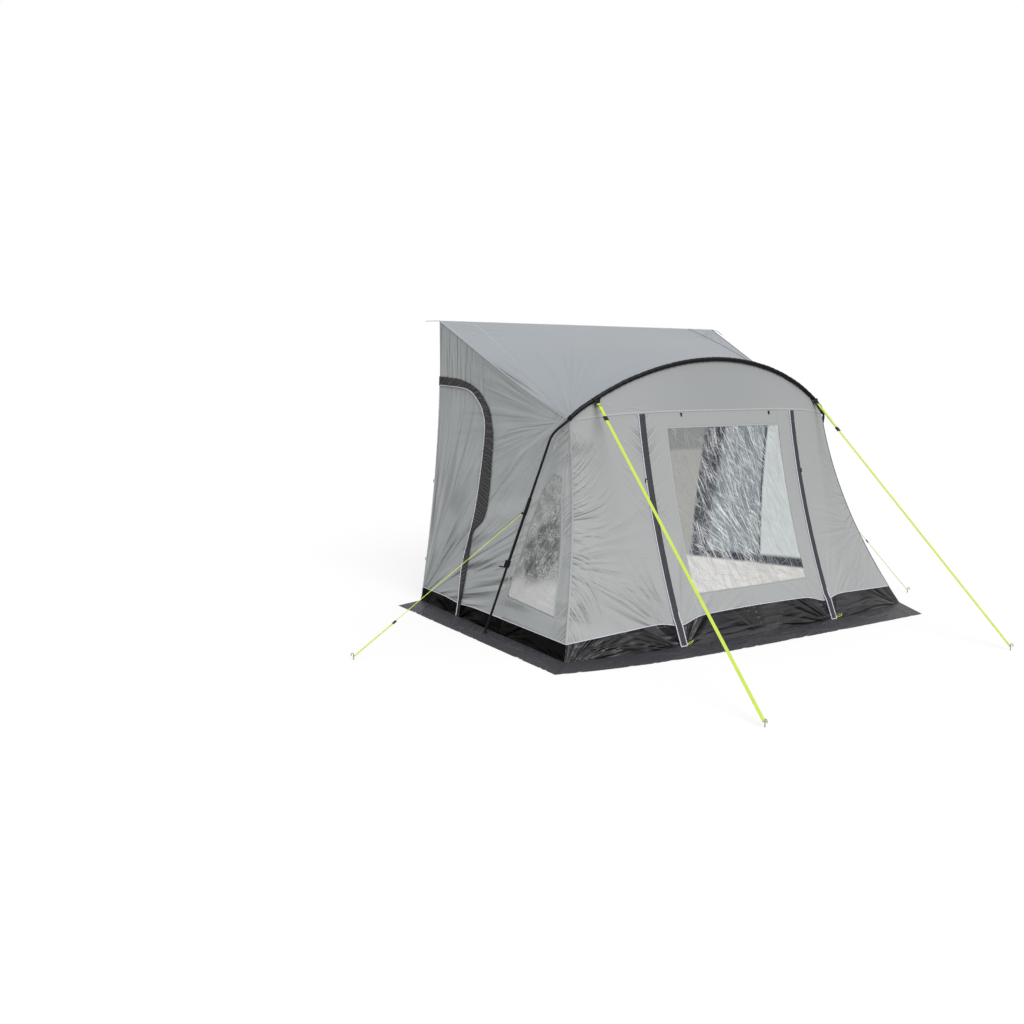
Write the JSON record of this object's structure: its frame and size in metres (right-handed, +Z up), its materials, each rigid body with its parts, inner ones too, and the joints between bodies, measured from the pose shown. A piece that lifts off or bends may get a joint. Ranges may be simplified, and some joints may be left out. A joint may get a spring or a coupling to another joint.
{
  "type": "awning",
  "caption": "Lean-to fabric awning room on a telescopic steel hoop, with curved roof, zipped front and side doors, film windows, mud walls, ground skirts, storm straps and guyed legs.",
  "frame": {"origin": "on the ground at the middle of the bounding box of everything but the free straps, guys and their pegs", "axes": "+X along the rail, to the right of someone who faces the front; -Y to the front, +Y to the rail; +Z up"},
  "size_m": [5.162, 3.888, 2.424],
  "materials": {
    "roof_cloth": "satin polyester, blue-grey",
    "wall_cloth": "matte polyester, light grey",
    "gable_cloth": "matte polyester, mid grey",
    "black_cloth": "satin coated polyester",
    "flap_cloth": "satin polyester",
    "window_film": "clear flexible film, slightly crinkled",
    "skirt_film": "flexible vinyl, dull",
    "steel_tube": "powder-coated grey",
    "zinc": "zinc alloy",
    "black_plastic": "moulded, dull",
    "webbing": "bright yellow-green woven webbing",
    "guy_cord": "bright yellow-green braided cord",
    "peg_steel": "plated wire",
    "rail_cord": "coated keder cord"
  },
  "bodies": {
    "tent": {"roof_panel": "roof_cloth", "rail_bead": "rail_cord", "gable_panel": "gable_cloth", "front_panel_left": "wall_cloth", "front_panel_right": "wall_cloth", "side_wall_left": "wall_cloth", "side_wall_right": "wall_cloth", "side_window_panel_left": "wall_cloth", "side_window_panel_right": "wall_cloth", "side_window_left": "window_film", "side_window_right": "window_film", "mud_wall_side_left": "black_cloth", "mud_wall_side_right": "black_cloth", "mud_wall_front_left": "black_cloth", "mud_wall_front_right": "black_cloth", "ground_skirt_left": "skirt_film", "ground_skirt_front": "skirt_film", "ground_skirt_right": "skirt_film", "side_zip_flap_left": "flap_cloth", "side_zip_flap_right": "flap_cloth", "arch_sleeve": "black_cloth", "hoop_centre": "steel_tube", "hoop_left": "steel_tube", "hoop_right": "steel_tube", "leg_outer_left": "steel_tube", "leg_outer_right": "steel_tube", "clamp_body_left": "black_plastic", "clamp_body_right": "black_plastic", "leg_collar_left": "black_plastic", "leg_collar_right": "black_plastic", "storm_strap_left": "webbing", "storm_strap_right": "webbing", "strap_adjuster_left": "black_plastic", "strap_adjuster_right": "black_plastic", "strap_peg_left": "peg_steel", "strap_peg_right": "peg_steel", "side_guy_left": "guy_cord", "side_guy_right": "guy_cord", "guy_runner_left": "black_plastic", "guy_runner_right": "black_plastic", "guy_peg_left": "peg_steel", "guy_peg_right": "peg_steel"},
    "front_door": {"front_door_panel": "wall_cloth", "front_window": "window_film", "mud_wall_front_door": "black_cloth", "front_zip_flap_left": "flap_cloth", "front_zip_flap_right": "flap_cloth"},
    "side_door_left": {"side_door_left": "wall_cloth"},
    "side_door_right": {"side_door_right": "wall_cloth"},
    "lower_leg_left": {"leg_inner_left": "steel_tube", "foot_left": "black_plastic"},
    "lower_leg_right": {"leg_inner_right": "steel_tube", "foot_right": "black_plastic"},
    "cam_lever_left": {"clamp_lever_left": "black_plastic"},
    "cam_lever_right": {"clamp_lever_right": "black_plastic"},
    "front_slider_left": {"front_zip_slider_left": "zinc"},
    "front_slider_right": {"front_zip_slider_right": "zinc"},
    "side_slider_left": {"side_zip_slider_left": "zinc"},
    "side_slider_right": {"side_zip_slider_right": "zinc"}
  },
  "joints": [
    {"name": "front_door_lift", "type": "hinge", "parent": "tent", "child": "front_door", "pos_m": [0.0718, -0.5335, 1.686], "axis": [-1, 0, 0], "range_deg": [0, 85]},
    {"name": "side_door_left_swing", "type": "hinge", "parent": "tent", "child": "side_door_left", "pos_m": [-1.6902, 1.3045, 0], "axis": [-0.1085, 0, -0.9941], "range_deg": [0, 90]},
    {"name": "side_door_right_swing", "type": "hinge", "parent": "tent", "child": "side_door_right", "pos_m": [1.8338, 1.3045, 0], "axis": [-0.1085, 0, 0.9941], "range_deg": [0, 90]},
    {"name": "leg_left_telescope", "type": "slide", "parent": "tent", "child": "lower_leg_left", "axis": [0.2586, -0.1786, 0.9493], "range_m": [0, 0.33]},
    {"name": "leg_right_telescope", "type": "slide", "parent": "tent", "child": "lower_leg_right", "axis": [-0.2586, -0.1786, 0.9493], "range_m": [0, 0.33]},
    {"name": "cam_lever_left_turn", "type": "hinge", "parent": "tent", "child": "cam_lever_left", "pos_m": [-1.65078, -0.09299, 0.57725], "axis": [0.2586, -0.1786, 0.9493], "range_deg": [0, 100]},
    {"name": "cam_lever_right_turn", "type": "hinge", "parent": "tent", "child": "cam_lever_right", "pos_m": [1.79438, -0.09299, 0.57725], "axis": [0.2586, 0.1786, -0.9493], "range_deg": [0, 100]},
    {"name": "front_slider_left_run", "type": "slide", "parent": "tent", "child": "front_slider_left", "axis": [0, 0.3019, 0.9533], "range_m": [0, 0.21]},
    {"name": "front_slider_right_run", "type": "slide", "parent": "tent", "child": "front_slider_right", "axis": [0, 0.3019, 0.9533], "range_m": [0, 0.21]},
    {"name": "side_slider_left_run", "type": "slide", "parent": "tent", "child": "side_slider_left", "axis": [0.1418, -0.0356, 0.9893], "range_m": [0, 0.26]},
    {"name": "side_slider_right_run", "type": "slide", "parent": "tent", "child": "side_slider_right", "axis": [-0.1502, -0.0356, 0.988], "range_m": [0, 0.26]}
  ]
}
